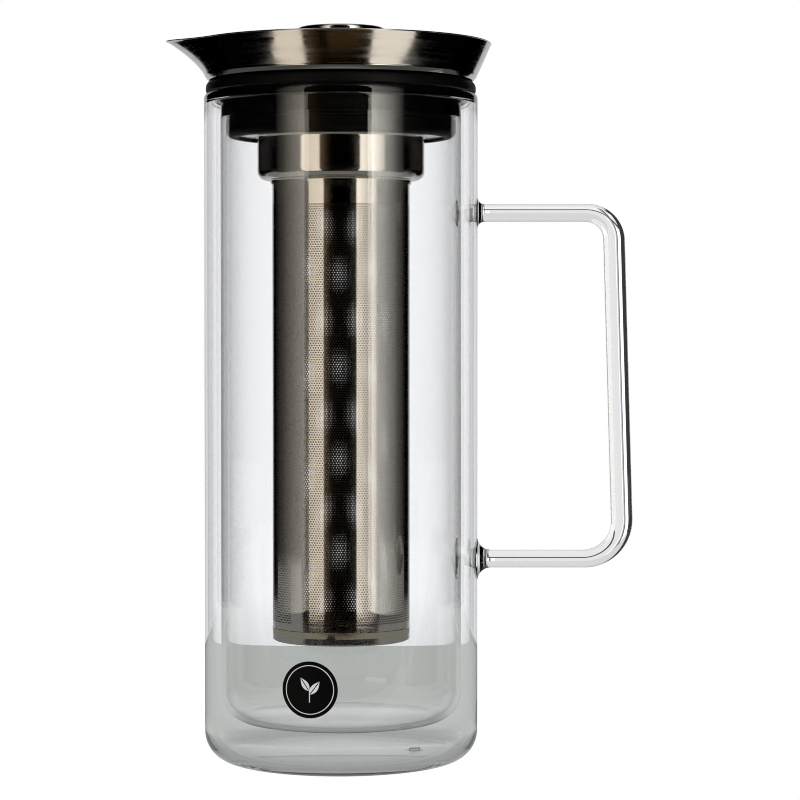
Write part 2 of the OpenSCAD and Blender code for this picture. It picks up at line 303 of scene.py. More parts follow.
def vessel_outlines():
    """The glass's outside and bore in one outline, and the air space between its walls."""
    heel_in = HEEL_R - OUTER_WALL
    corner_in = INNER_CORNER - INNER_WALL
    arch_r = AIR_GAP / 2
    arch_z = RIM_TOP - RIM_T - arch_r
    outside = [(0, 0), (BODY_R - HEEL_R, 0)]
    outside += arc(BODY_R - HEEL_R, HEEL_R, HEEL_R, -90, 0, HEEL_STEPS)[1:]
    outside += run((BODY_R, HEEL_R), (BODY_R, RIM_TOP - OUTER_ROUND), OUTER_STEPS)
    outside += arc(BODY_R - OUTER_ROUND, RIM_TOP - OUTER_ROUND, OUTER_ROUND, 0, 90)
    outside += arc(BORE_R + RIM_ROUND, RIM_TOP - RIM_ROUND, RIM_ROUND, 90, 180)
    outside += run((BORE_R, RIM_TOP - RIM_ROUND), (BORE_R, INNER_FLOOR + corner_in), INNER_STEPS)
    outside += arc(BORE_R - corner_in, INNER_FLOOR + corner_in, corner_in, 0, -90, CORNER_STEPS)
    outside += [(0, INNER_FLOOR)]
    cavity = [(0, FLOOR_LIFT)]
    cavity += arc(INNER_R - INNER_CORNER, FLOOR_LIFT + INNER_CORNER, INNER_CORNER, -90, 0, CORNER_STEPS)
    cavity += run((INNER_R, FLOOR_LIFT + INNER_CORNER), (INNER_R, arch_z), INNER_STEPS)
    cavity += arc(INNER_R + arch_r, arch_z, arch_r, 180, 0, ARCH_STEPS)
    cavity += run((SLEEVE_R, arch_z), (SLEEVE_R, HEEL_R), INNER_STEPS)
    cavity += arc(SLEEVE_R - heel_in, BASE_T + heel_in, heel_in, 0, -90, CORNER_STEPS)
    cavity += [(0, BASE_T)]
    return [outside, cavity]


# Handle: a bent rod whose feet flare into the outer glass, as rings of (x, z, heading below +X, radius)
GRIP_R = 4.0
ARM_R = 3.25
FOOT_TOP = 2.6
FOOT_BOTTOM = 5.0
BEND_TOP = 10.0
BEND_BOTTOM = 14.0
GRIP_LEAN = math.radians(1.7)
FOOT_SINK = 1.2
ROD_SIDES = 48
FOOT_STEPS = 10
ARM_STEPS = 12
BEND_STEPS = 16
GRIP_STEPS = 20
ARM_TOP_Z = ROD_HIGH.z - ARM_R - FOOT_TOP
ARM_BOTTOM_Z = ROD_LOW.z + ARM_R + FOOT_BOTTOM


def rod_foot(z, heading, fillet):
    """Rings of a foot, from inside the glass out to the arm."""
    rings = [(BODY_R - FOOT_SINK, z, heading, ARM_R + fillet)]
    for i in range(1, FOOT_STEPS + 1):
        a = math.pi / 2 * i / FOOT_STEPS
        x = BODY_R + fillet * (1 - math.cos(a))
        rings.append((x, z, heading, ARM_R + fillet * (1 - math.sin(a))))
    return rings


def rod_arm(start_x, stop_x, z, heading):
    """Rings of a level arm, without its ends."""
    return [(x, z, heading, ARM_R) for x, _ in run((start_x, z), (stop_x, z), ARM_STEPS)]


def rod_bend(x, z, radius, start, stop, first_r, last_r):
    """Rings of a bend about a middle, from one heading and rod radius to another."""
    rings = []
    for i in range(BEND_STEPS + 1):
        a = start + (stop - start) * i / BEND_STEPS
        thick = first_r + (last_r - first_r) * i / BEND_STEPS
        rings.append((x + radius * math.sin(a), z + radius * math.cos(a), a, thick))
    return rings


def rod_rings():
    """Rings of the whole rod, from the upper foot to the lower one."""
    low_x = ROD_HIGH.x - GRIP_R - BEND_BOTTOM
    low_z = ARM_BOTTOM_Z + BEND_BOTTOM
    top_z = ARM_TOP_Z - BEND_TOP
    step = BEND_BOTTOM - BEND_TOP
    grip_run = (top_z - low_z - step * math.sin(GRIP_LEAN)) / math.cos(GRIP_LEAN)
    top_x = low_x - grip_run * math.sin(GRIP_LEAN) + step * math.cos(GRIP_LEAN)
    turn = math.pi / 2 - GRIP_LEAN
    rings = rod_foot(ARM_TOP_Z, 0.0, FOOT_TOP)
    rings += rod_arm(BODY_R + FOOT_TOP, top_x, ARM_TOP_Z, 0.0)
    rings += rod_bend(top_x, top_z, BEND_TOP, 0.0, turn, ARM_R, GRIP_R)
    low_bend = rod_bend(low_x, low_z, BEND_BOTTOM, turn, math.pi, GRIP_R, ARM_R)
    rings += run(rings[-1], low_bend[0], GRIP_STEPS)
    rings += low_bend
    rings += reversed(rod_arm(BODY_R + FOOT_BOTTOM, low_x, ARM_BOTTOM_Z, math.pi))
    rings += reversed(rod_foot(ARM_BOTTOM_Z, math.pi, FOOT_BOTTOM))
    return rings


def rod_mesh():
    """Points and faces of the rod, closed at both ends."""
    points, faces = [], []
    rings = rod_rings()
    for x, z, heading, radius in rings:
        for a in round_angles(ROD_SIDES):
            out = radius * math.cos(a)
            points.append((x + out * math.sin(heading), radius * math.sin(a), z + out * math.cos(heading)))
    for i in range(len(rings) - 1):
        here, ahead = i * ROD_SIDES, (i + 1) * ROD_SIDES
        for k in range(ROD_SIDES):
            m = (k + 1) % ROD_SIDES
            faces.append((here + k, here + m, ahead + m, ahead + k))
    last = (len(rings) - 1) * ROD_SIDES
    faces.append(tuple(reversed(range(ROD_SIDES))))
    faces.append(tuple(range(last, last + ROD_SIDES)))
    return points, faces


def join_rod(vessel, rod):
    """Fuses the rod into the vessel's outer wall."""
    fuse = vessel.modifiers.new("fuse_handle", "BOOLEAN")
    fuse.operation = "UNION"
    fuse.solver = "EXACT"
    fuse.object = rod
    graph = bpy.context.evaluated_depsgraph_get()
    fused = bpy.data.meshes.new_from_object(vessel.evaluated_get(graph))
    vessel.modifiers.clear()
    vessel.data = fused
    bpy.data.objects.remove(rod)
    fused.shade_smooth()
    fused.set_sharp_from_angle(angle=FUSED_EDGE)


vessel = lathe("vessel_glass", vessel_outlines(), GLASS)
join_rod(vessel, new_object("rod", *rod_mesh()))
place(vessel, "jug", "clear_glass", "outer_glass", "inner_glass", "handle")

# Vent plug in the base: a flat head under a stem
VENT_LEDGE = 1.0
VENT_HEAD_T = 0.9
VENT_EDGE = 0.25
VENT_TIP = 0.5
VENT_SIDES = 48


def vent_plug():
    """The plug, turned about its own axis."""
    head_r = (VENT_HIGH.x - VENT_LOW.x) / 2
    stem_r = head_r - VENT_LEDGE
    head_top = VENT_LOW.z + VENT_HEAD_T
    middle = Vector(((VENT_LOW.x + VENT_HIGH.x) / 2, (VENT_LOW.y + VENT_HIGH.y) / 2, 0))
    outline = [(0, VENT_LOW.z), (head_r - VENT_EDGE, VENT_LOW.z)]
    outline += arc(head_r - VENT_EDGE, VENT_LOW.z + VENT_EDGE, VENT_EDGE, -90, 0, steps=4)[1:]
    outline += [(head_r, head_top), (stem_r, head_top), (stem_r, VENT_HIGH.z - VENT_TIP)]
    outline += arc(stem_r - VENT_TIP, VENT_HIGH.z - VENT_TIP, VENT_TIP, 0, 90, steps=5)[1:]
    outline += [(0, VENT_HIGH.z)]
    points, faces = turned([outline], VENT_SIDES)
    points = [Vector(p) + middle for p in points]
    return new_object("vent_plug_soft", points, faces, PLUG_CLEAR)


place(vent_plug(), "jug", "clear_silicone", "vent_plug")

# Round sticker: a black disc with a pale ring and a sprig. A leaf has a root, a tip and a half width
LABEL_R = (LABEL_HIGH.z - LABEL_LOW.z) / 2
LABEL_Z = (LABEL_HIGH.z + LABEL_LOW.z) / 2
LABEL_TURN = math.radians(11.6)
FILM_T = 0.15
FILM_ROWS = 6
FILM_SIDES = 72
INK_T = 0.03
RING_INSET = 1.6
RING_W = 0.28
RING_SIDES = 96
STEM_LOW = -4.4
STEM_TOP = 0.2
STEM_HALF = 0.17
STEM_STEPS = 8
LEAVES = (((0.1, -1.6), (3.6, 3.0), 1.25), ((-0.1, -0.4), (-3.2, 4.2), 1.2))
LEAF_STEPS = 16
LEAF_FULLNESS = 0.85
RIB_HALF = 0.16
RIB_SHARE = 0.3


def on_glass(across, up, lift):
    """Point on the outer glass, from its place on the flat sticker."""
    a = -math.pi / 2 - LABEL_TURN + across / BODY_R
    r = BODY_R + lift
    return (r * math.cos(a), r * math.sin(a), LABEL_Z + up)


def film_disc():
    """The sticker's disc, a closed film that follows the round of the glass."""
    points, faces = [], []
    for lift in (0.0, FILM_T):
        for row in range(1, FILM_ROWS + 1):
            r = LABEL_R * row / FILM_ROWS
            points += [on_glass(r * math.cos(a), r * math.sin(a), lift) for a in round_angles(FILM_SIDES)]
        points.append(on_glass(0, 0, lift))
    layer = FILM_ROWS * FILM_SIDES + 1
    rim = (FILM_ROWS - 1) * FILM_SIDES
    for k in range(FILM_SIDES):
        m = (k + 1) % FILM_SIDES
        faces.append((layer - 1, m, k))
        faces.append((2 * layer - 1, layer + k, layer + m))
        for row in range(FILM_ROWS - 1):
            here, ahead = row * FILM_SIDES, (row + 1) * FILM_SIDES
            faces.append((here + k, here + m, ahead + m, ahead + k))
            faces.append((layer + here + m, layer + here + k, layer + ahead + k, layer + ahead + m))
        faces.append((rim + k, rim + m, layer + rim + m, layer + rim + k))
    return points, faces


def ink_strip(inner, outer, closed=False):
    """Points and faces of a printed strip between two edges of flat points."""
    points = [on_glass(x, y, FILM_T + INK_T) for x, y in inner + outer]
    count = len(inner)
    ends = count if closed else count - 1
    faces = [(k, (k + 1) % count, count + (k + 1) % count, count + k) for k in range(ends)]
    return points, faces


def ring_ink():
    """The ring inside the sticker's edge."""
    inner_r = LABEL_R - RING_INSET
    edges = []
    for r in (inner_r + RING_W, inner_r):
        edges.append([(r * math.cos(a), r * math.sin(a)) for a in round_angles(RING_SIDES)])
    return ink_strip(*edges, closed=True)


def stem_ink():
    """The sprig's upright stem."""
    levels = [STEM_LOW + (STEM_TOP - STEM_LOW) * i / STEM_STEPS for i in range(STEM_STEPS + 1)]
    return ink_strip([(-STEM_HALF, y) for y in levels], [(STEM_HALF, y) for y in levels])


def leaf_ink(root, tip, width):
    """The two halves of a leaf, widest just under its middle, with a gap down its rib."""
    axis = Vector(tip) - Vector(root)
    side = Vector((-axis.y, axis.x)).normalized()
    halves = []
    for sign in (1, -1):
        near, far = [], []
        for i in range(LEAF_STEPS + 1):
            t = i / LEAF_STEPS
            swell = width * math.sin(math.pi * t ** LEAF_FULLNESS)
            rib = min(RIB_HALF, RIB_SHARE * swell)
            spot = Vector(root) + axis * t
            near.append(tuple(spot + side * sign * rib))
            far.append(tuple(spot + side * sign * max(swell, rib)))
        halves.append((near, far) if sign < 0 else (far, near))
    return [ink_strip(inner, outer) for inner, outer in halves]


def sticker():
    """The disc and its print, as one piece with two finishes."""
    points, faces = film_disc()
    plain = len(faces)
    inks = [ring_ink(), stem_ink()]
    for leaf in LEAVES:
        inks += leaf_ink(*leaf)
    for ink_points, ink_faces in inks:
        first = len(points)
        points += ink_points
        faces += [tuple(first + i for i in face) for face in ink_faces]
    piece = new_object("sticker", points, faces, FILM_BLACK)
    piece.data.materials.append(FILM_PALE)
    for face in piece.data.polygons:
        face.material_index = 1 if face.index >= plain else 0
    return piece


place(sticker(), "jug", "sticker", "label")

# Lid collar: a flared sheet with a pouring spout towards -X
# The lip's bends have a radius, a first and a last angle in degrees, and steps
COLLAR_STEPS = 360
WALL_STEPS = 24
COLLAR_INSET = 0.3
COLLAR_FOOT_R = BODY_R - COLLAR_INSET
COLLAR_SHEET = 0.8
COLLAR_H = 13.8
COLLAR_BOW = 0.06
LIP_BENDS = ((0.5, 0, 34, 4), (14.0, 34, 42, 5), (0.4, 42, 90, 4))
TIP_SOFTNESS = 5.0
SPOUT_POWER = 1.7
RISE_SHARE = 0.65
RIM_SWELL = 0.5
RIM_R = COLLAR_HIGH.x + RIM_SWELL
FLARE = RIM_R - COLLAR_FOOT_R
SPOUT_REACH = -COLLAR_LOW.x - RIM_R
SPOUT_HALF = math.degrees(math.acos(RIM_R / (RIM_R + SPOUT_REACH))) + TIP_SOFTNESS
RIM_Z = COLLAR_LOW.z + COLLAR_H
LIP_H = sum(r * (math.sin(math.radians(b)) - math.sin(math.radians(a))) for r, a, b, _ in LIP_BENDS)
FOOT_Z = COLLAR_LOW.z + LIP_H
TIP_SHARE = 1 - TIP_SOFTNESS / SPOUT_HALF
SPOUT_RISE = RISE_SHARE * (COLLAR_HIGH.z - RIM_Z) / TIP_SHARE ** 2
FLOOR_HOLE_R = 30.3


def lip(r, z, inset):
    """Bevelled lip under the collar's wall, as arcs that run into each other, down to the floor."""
    points = []
    for radius, start, stop, steps in LIP_BENDS:
        middle_r = r - radius * math.cos(math.radians(start))
        middle_z = z + radius * math.sin(math.radians(start))
        bend = arc(middle_r, middle_z, radius, -start, -stop, steps)
        r, z = bend[-1]
        points += bend[1:]
    return [(x - inset, max(y, COLLAR_LOW.z + inset)) for x, y in points]


def collar_section(turn):
    """Closed section of the sheet at an angle from the spout, in degrees."""
    angle = math.hypot(min(turn, 360 - turn), TIP_SOFTNESS)
    share = max(0.0, 1 - angle / SPOUT_HALF)
    out = RIM_R / math.cos(math.radians(SPOUT_HALF - angle)) - RIM_R if share > 0 else 0.0
    rim_height = RIM_Z + SPOUT_RISE * share ** 2

    def wall(t, inset):
        r = COLLAR_FOOT_R + FLARE * t * (1 + COLLAR_BOW * (1 - t)) + out * t ** SPOUT_POWER
        return (r - inset, FOOT_Z + t * (rim_height - FOOT_Z))

    half = COLLAR_SHEET / 2
    edge = wall(1, half)
    section = [wall(i / WALL_STEPS, COLLAR_SHEET) for i in range(WALL_STEPS)]
    section += arc(edge[0], edge[1] - half, half, 180, 0)
    section += [wall(i / WALL_STEPS, 0) for i in reversed(range(WALL_STEPS))]
    section += lip(COLLAR_FOOT_R, FOOT_Z, 0.0)
    section += [(FLOOR_HOLE_R, COLLAR_LOW.z), (FLOOR_HOLE_R, COLLAR_LOW.z + COLLAR_SHEET)]
    section += reversed(lip(COLLAR_FOOT_R, FOOT_Z, COLLAR_SHEET))
    return section


def collar():
    """The sheet, as sections round the axis from the spout's middle."""
    points, faces = [], []
    for k in range(COLLAR_STEPS):
        turn = 360 * k / COLLAR_STEPS
        a = math.radians(turn)
        section = collar_section(turn)
        points += [(-r * math.cos(a), -r * math.sin(a), z) for r, z in section]
    count = len(section)
    for k in range(COLLAR_STEPS):
        here, ahead = k * count, (k + 1) % COLLAR_STEPS * count
        for i in range(count):
            j = (i + 1) % count
            faces.append((here + i, here + j, ahead + j, ahead + i))
    return new_object("collar_sheet", points, faces, COLLAR_STEEL)


place(collar(), "lid", "brushed_sheet", "lid_collar")

# Stopper: a flange on the rim, a lip in the bore, a notch and a rounded plug with a recess
LIP_PRESS = 0.12
LIP_CHAMFER = 0.3
PLUG_GAP = 0.1
EDGE_ROUND = 0.5
FLANGE_ROUND = 2.6
PLUG_ROUND = 2.6
NOTCH_DROP = 12.1
NOTCH_R = 0.75
RECESS_WALL = 4.4
RECESS_ROOM = 3.0
RECESS_TOP = NECK_HIGH.z + RECESS_ROOM
SKIRT_R = 30.0


def stopper():
    """The stopper, turned from one closed outline."""
    lip_r = BORE_R + LIP_PRESS
    plug_r = BORE_R - PLUG_GAP
    recess_r = BORE_R - RECESS_WALL
    flange_r = SEAL_HIGH.x - EDGE_ROUND
    notch_z = GLASS_H - NOTCH_DROP
    low, high = SEAL_LOW.z, SEAL_HIGH.z
    outline = [(recess_r, RECESS_TOP), (recess_r, low + EDGE_ROUND)]
    outline += arc(recess_r + EDGE_ROUND, low + EDGE_ROUND, EDGE_ROUND, 180, 270, steps=5)[1:]
    outline += arc(plug_r - PLUG_ROUND, low + PLUG_ROUND, PLUG_ROUND, -90, 0, steps=14)
    outline += arc(plug_r, notch_z, NOTCH_R, 270, 90, steps=14)
    outline += [(lip_r, notch_z + NOTCH_R), (lip_r, RIM_TOP - EDGE_ROUND)]
    outline += [(lip_r - LIP_CHAMFER, RIM_TOP), (flange_r, RIM_TOP)]
    outline += arc(flange_r, RIM_TOP + EDGE_ROUND, EDGE_ROUND, -90, 0, steps=6)[1:]
    outline += arc(SEAL_HIGH.x - FLANGE_ROUND, high - FLANGE_ROUND, FLANGE_ROUND, 0, 90, steps=10)
    outline += [(SKIRT_R, high), (SKIRT_R, RECESS_TOP), (recess_r, RECESS_TOP)]
    return lathe("stopper_silicone", [outline], SILICONE)


place(stopper(), "lid", "black_silicone", "stopper_seal")

# Knob: a drawn steel cap with a dished top, whose dish has its edges at shares of the cap's radius
KNOB_SHEET = 0.8
KNOB_ROUND = 1.0
KNOB_EDGE = 0.2
KNOB_DISH = 0.35
DISH_BACK = 0.6
DISH_FLAT = 0.64
DISH_SLOPE = 0.68
DISH_EDGE = 0.72


def knob():
    """The cap, open below."""
    r, low, top = KNOB_HIGH.x, KNOB_LOW.z, KNOB_HIGH.z
    inside = r - KNOB_SHEET
    round_in = KNOB_ROUND - KNOB_SHEET
    floor = top - KNOB_DISH
    outline = [(0, top - KNOB_SHEET - KNOB_DISH), (r * DISH_BACK, top - KNOB_SHEET - KNOB_DISH)]
    outline += arc(inside - round_in, top - KNOB_ROUND, round_in, 90, 0, steps=6)
    outline += [(inside, low), (r - KNOB_EDGE, low), (r, low + KNOB_EDGE)]
    outline += arc(r - KNOB_ROUND, top - KNOB_ROUND, KNOB_ROUND, 0, 90, steps=10)
    outline += [(r * DISH_EDGE, top), (r * DISH_SLOPE, (top + floor) / 2), (r * DISH_FLAT, floor), (0, floor)]
    return lathe("knob_steel", [outline], COLLAR_STEEL)


place(knob(), "valve", "polished_steel", "knob_cap")

# Infuser's collar: a wide ring on the tube, with a flange at its mouth
NECK_SHEET = 0.6
NECK_ROUND = 3.2
TOP_ROUND = 1.4
FLANGE_T = 1.2
TUBE_R = TUBE_HIGH.x
NECK_R = 30.5
NECK_SOCKET = 1.4
NECK_FOOT = NECK_LOW.z + NECK_SOCKET
SOCKET_ROUND = 0.8
MOUTH_ROUND = 0.5


def infuser_collar():
    """The collar, turned from one closed outline."""
    flange_r = NECK_HIGH.x
    flange_low = NECK_HIGH.z - FLANGE_T
    half = FLANGE_T / 2
    mouth_r = NECK_R - NECK_SHEET + MOUTH_ROUND
    skin = TUBE_R + NECK_SHEET
    outline = [(TUBE_R, NECK_LOW.z), (skin, NECK_LOW.z), (skin, NECK_FOOT - SOCKET_ROUND)]
    outline += arc(skin + SOCKET_ROUND, NECK_FOOT - SOCKET_ROUND, SOCKET_ROUND, 180, 90, steps=6)[1:]
    outline += arc(NECK_R - NECK_ROUND, NECK_FOOT + NECK_ROUND, NECK_ROUND, -90, 0, steps=10)
    outline += run((NECK_R, NECK_FOOT + NECK_ROUND), (NECK_R, flange_low - TOP_ROUND), steps=4)
    outline += arc(NECK_R + TOP_ROUND, flange_low - TOP_ROUND, TOP_ROUND, 180, 90, steps=10)
    outline += arc(flange_r - half, flange_low + half, half, -90, 90, steps=10)
    outline += arc(mouth_r, NECK_HIGH.z - MOUTH_ROUND, MOUTH_ROUND, 90, 180, steps=5)
    outline += arc(NECK_R - NECK_ROUND, NECK_FOOT + NECK_ROUND, NECK_ROUND - NECK_SHEET, 0, -90)
    outline += [(TUBE_R, NECK_FOOT + NECK_SHEET), (TUBE_R, NECK_LOW.z)]
    return lathe("infuser_neck", [outline], POLISHED)


place(infuser_collar(), "infuser", "polished_steel", "infuser_collar")

# Sieve: rows of small holes, offset by half a cell from row to row, beside a plain seam strip
PITCH = 0.972
ROW = PITCH * math.sqrt(3) / 2
HOLE_R = 0.32
HOLE_IN_R = 0.225
HOLE_DEPTH = 0.3
HOLE_SIDES = 6
SIEVE_LOW = 51.7
SIEVE_HIGH = 203.9
SEAM_ANGLE = 38
SEAM_TURN = math.radians(-90 - SEAM_ANGLE)
SEAM_W = 5.4
SEAM_STEPS = 8
SIEVE_W = 2 * math.pi * TUBE_R - SEAM_W
PANELS = 4
ROWS = int((SIEVE_HIGH - SIEVE_LOW) / ROW)
PANEL_COLUMNS = int(SIEVE_W / PITCH / PANELS)
CELL_W = SIEVE_W / (PANELS * PANEL_COLUMNS)
SAME_DIGITS = 4


def on_tube(along, z, depth=0.0):
    """Point on the tube, from its distance round it past the seam strip's edge."""
    a = SEAM_TURN + (SEAM_W / 2 + along) / TUBE_R
    r = TUBE_R - depth
    return (r * math.cos(a), r * math.sin(a), z)


def sieve_panel(number):
    """One panel of the perforated sheet: brick cells, each with a six-sided hole that narrows inwards, its
    walls near-black as painted shade.
    """
    left_edge = number * PANEL_COLUMNS * CELL_W
    angles = [math.radians(360 / HOLE_SIDES * (k - 0.5)) for k in range(HOLE_SIDES)]
    points, faces = [], []
    lookup = {}

    def corner(u, z, depth=0.0):
        key = (round(u, SAME_DIGITS), round(z, SAME_DIGITS), depth)
        if key not in lookup:
            lookup[key] = len(points)
            points.append(on_tube(*key))
        return lookup[key]

    for row in range(ROWS):
        low = SIEVE_LOW + row * ROW
        high = low + ROW
        level = (low + high) / 2
        offset = row % 2 * CELL_W / 2
        for column in range(PANEL_COLUMNS):
            left = left_edge + column * CELL_W + offset
            right = left + CELL_W
            middle = left + CELL_W / 2
            outer = [(right, low), (right, high), (middle, high), (left, high), (left, low), (middle, low)]
            rim = [corner(*p) for p in outer]
            edge = [corner(middle + HOLE_R * math.cos(a), level + HOLE_R * math.sin(a)) for a in angles]
            deep = []
            for a in angles:
                u, z = middle + HOLE_IN_R * math.cos(a), level + HOLE_IN_R * math.sin(a)
                deep.append(corner(u, z, HOLE_DEPTH))
            for k in range(HOLE_SIDES):
                m = (k + 1) % HOLE_SIDES
                faces.append((rim[k], rim[m], edge[m], edge[k]))
                faces.append((edge[k], edge[m], deep[m], deep[k]))
    panel = new_object(f"sieve_panel_{number + 1}", points, faces, SIEVE_STEEL)
    # The hole walls take the near-black steel: painted shade inside the holes
    panel.data.materials.append(HOLE_SHADE_STEEL)
    panel.data.polygons.foreach_set("material_index", [0, 1] * (len(faces) // 2))
    return panel


def tube_plain():
    """The plain stretches of the tube: above and below the holes, the seam strip and its half cells."""
    top = SIEVE_LOW + ROWS * ROW
    around = 2 * math.pi * TUBE_R
    points, faces = [], []

    def sheet(start, stop, low, high, steps):
        first = len(points)
        for i in range(steps + 1):
            along = start + (stop - start) * i / steps
            points.append(on_tube(along, low))
            points.append(on_tube(along, high))
        for i in range(steps):
            a = first + 2 * i
            faces.append((a, a + 2, a + 3, a + 1))

    sheet(0, around, TUBE_LOW.z, SIEVE_LOW, SEGMENTS)
    sheet(0, around, top, TUBE_HIGH.z, SEGMENTS)
    sheet(-SEAM_W, 0, SIEVE_LOW, top, SEAM_STEPS)
    for row in range(1, ROWS, 2):
        low = SIEVE_LOW + row * ROW
        sheet(0, CELL_W / 2, low, low + ROW, steps=1)
    return new_object("tube_plain", points, faces, SIEVE_STEEL, ALL_SMOOTH)


place(tube_plain(), "infuser", "perforated_steel", "infuser_tube")
for number in range(PANELS):
    place(sieve_panel(number), "infuser", "perforated_steel")

# Infuser's base: a pressed cap, almost flush with the tube, whose dish has its edges at shares of its radius
CAP_PROUD = 0.15
CAP_LEAN = 0.25
CAP_ROUND = 1.2
CAP_DISH = 0.5
CAP_FLAT = 0.7
CAP_FOOT = 0.76


def infuser_base():
    """The cap, open above."""
    r, low, high = TUBE_R + CAP_PROUD, BASE_LOW.z, BASE_HIGH.z
    inside = r - NECK_SHEET
    floor = low + CAP_DISH
    outline = [(0, floor), (r * CAP_FLAT, floor), (r * CAP_FOOT, low)]
    outline += arc(r - CAP_LEAN - CAP_ROUND, low + CAP_ROUND, CAP_ROUND, -90, 0)
    outline += [(r, high - CAP_PROUD), (TUBE_R, high), (inside, high)]
    outline += [(inside - CAP_LEAN, floor + NECK_SHEET), (0, floor + NECK_SHEET)]
    return lathe("infuser_cap", [outline], CAP_STEEL)


place(infuser_base(), "infuser", "polished_steel", "infuser_base")

# CAD nodes that stay
CAD_FINISHES = {
    "lid_core": PLASTIC,
    "lock_ring": PLASTIC,
    "valve_plug": PLASTIC,
    "valve_seal": SILICONE,
    "stem_clip": POLISHED,
}
for name, finish in CAD_FINISHES.items():
    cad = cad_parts[name]
    cad.data.materials.clear()
    cad.data.materials.append(finish)

# Colours and lights of the stage
TABLE_GREY = (0.55, 0.572, 0.556)
WALL_LIGHT = (1.22, 1.225, 1.25)
CEILING_LIGHT = (0.72, 0.73, 0.74)
BLACK = (0.0, 0.0, 0.0)
WHITE = (1.0, 1.0, 1.0)
AMBER = (1.0, 0.6, 0.25)
WARM_LEFT = (1.0, 0.91, 0.78)
WARM_RIGHT = (1.0, 0.95, 0.86)
SECOND_MIRROR = 0.3

# Limits on the count of mirrorings, and on the count of glass faces that a ray has crossed: a ray that is
# mirrored behind both walls crosses eight on its way in and out
ONCE = 0.5
BOTH_WALLS = 7.0
TO_INNER_GLASS = (3.0, 5.0)
THROUGH_ONE = (1.5, 2.5)

# Sockets of a Mix node: its two values or colours, and its result
MIX_SOCKETS = {"FLOAT": (2, 3, 0), "RGBA": (6, 7, 2)}


# Tests on the path of a ray
def compare(made, value, operation, limit):
    """1 where a value passes its limit, else 0."""
    test = node(made, "ShaderNodeMath", operation=operation)
    test.inputs[1].default_value = limit
    link(made, value, test.inputs[0])
    return test.outputs["Value"]


def combine(made, operation, first, second):
    """Two values combined by an operation."""
    both = node(made, "ShaderNodeMath", operation=operation)
    link(made, first, both.inputs[0])
    link(made, second, both.inputs[1])
    return both.outputs["Value"]


def blend(made, factor, first, second, kind="FLOAT"):
    """Something between two values, or between two colours."""
    mix = node(made, "ShaderNodeMix", data_type=kind)
    link(made, factor, mix.inputs[0])
    *ends, result = MIX_SOCKETS[kind]
    for number, value in zip(ends, (first, second)):
        if isinstance(value, bpy.types.NodeSocket):
            link(made, value, mix.inputs[number])
        else:
            mix.inputs[number].default_value = value
    return mix.outputs[result]


def crossed_over(made, path, limit):
    """1 for rays that have crossed more glass faces than a limit."""
    return compare(made, path.outputs["Transmission Depth"], "GREATER_THAN", limit)


def crossed_under(made, path, limit):
    """1 for rays that have crossed fewer glass faces than a limit."""
    return compare(made, path.outputs["Transmission Depth"], "LESS_THAN", limit)


def crossed_between(made, path, low, high):
    """1 for rays whose count of crossed glass faces lies between two limits."""
    return combine(made, "MULTIPLY", crossed_over(made, path, low), crossed_under(made, path, high))


def mirrored(made, path):
    """1 for rays that have been mirrored."""
    return compare(made, path.outputs["Glossy Depth"], "GREATER_THAN", ONCE)


def mirrored_inside(made, path):
    """1 for rays mirrored by a piece behind both glass walls."""
    return combine(made, "MULTIPLY", mirrored(made, path), crossed_over(made, path, BOTH_WALLS))


def mirrored_outside(made, path):
    """1 for rays mirrored by the collar or by a face of the glass."""
    return combine(made, "MULTIPLY", mirrored(made, path), crossed_under(made, path, BOTH_WALLS))


def mirrored_bare(made, path):
    """1 for rays mirrored by the collar or by the outer face of the glass."""
    return combine(made, "MULTIPLY", mirrored(made, path), crossed_under(made, path, ONCE))


def mirrored_behind(made, path):
    """1 for rays mirrored by anything behind the outer face of the glass."""
    return combine(made, "MULTIPLY", mirrored(made, path), crossed_over(made, path, ONCE))


def mirrored_caught(made, path):
    """1 for rays mirrored within the glass walls."""
    return combine(made, "MULTIPLY", mirrored_behind(made, path), mirrored_outside(made, path))


def mirrored_by_face(made, path):
    """1 for rays mirrored by the inner glass's outer face, or by a piece behind both glass walls."""
    face = combine(made, "MULTIPLY", mirrored(made, path), crossed_between(made, path, *TO_INNER_GLASS))
    return combine(made, "MAXIMUM", mirrored_inside(made, path), face)


def through_a_rod(made, path):
    """1 for rays that have crossed one solid piece of glass and nothing else."""
    plain = compare(made, path.outputs["Glossy Depth"], "LESS_THAN", ONCE)
    return combine(made, "MULTIPLY", crossed_between(made, path, *THROUGH_ONE), plain)


def faded(made, path):
    """1, cut down for light that was mirrored more than once."""
    return map_range(made, path.outputs["Glossy Depth"], 1, 2, 1, SECOND_MIRROR)


# Stage: sheets that glow, each for the rays that pass its test
def stage_material(name):
    """New stage material: its glow is the second part of a mix, and its caller adds the first."""
    made = bpy.data.materials.new(name)
    made.use_nodes = True
    made.node_tree.nodes.clear()
    made.cycles.emission_sampling = "NONE"
    output = node(made, "ShaderNodeOutputMaterial")
    glow = node(made, "ShaderNodeEmission")
    path = node(made, "ShaderNodeLightPath")
    mix = node(made, "ShaderNodeMixShader")
    link(made, glow.outputs["Emission"], mix.inputs[2])
    link(made, mix.outputs["Shader"], output.inputs["Surface"])
    return made, glow, path, mix


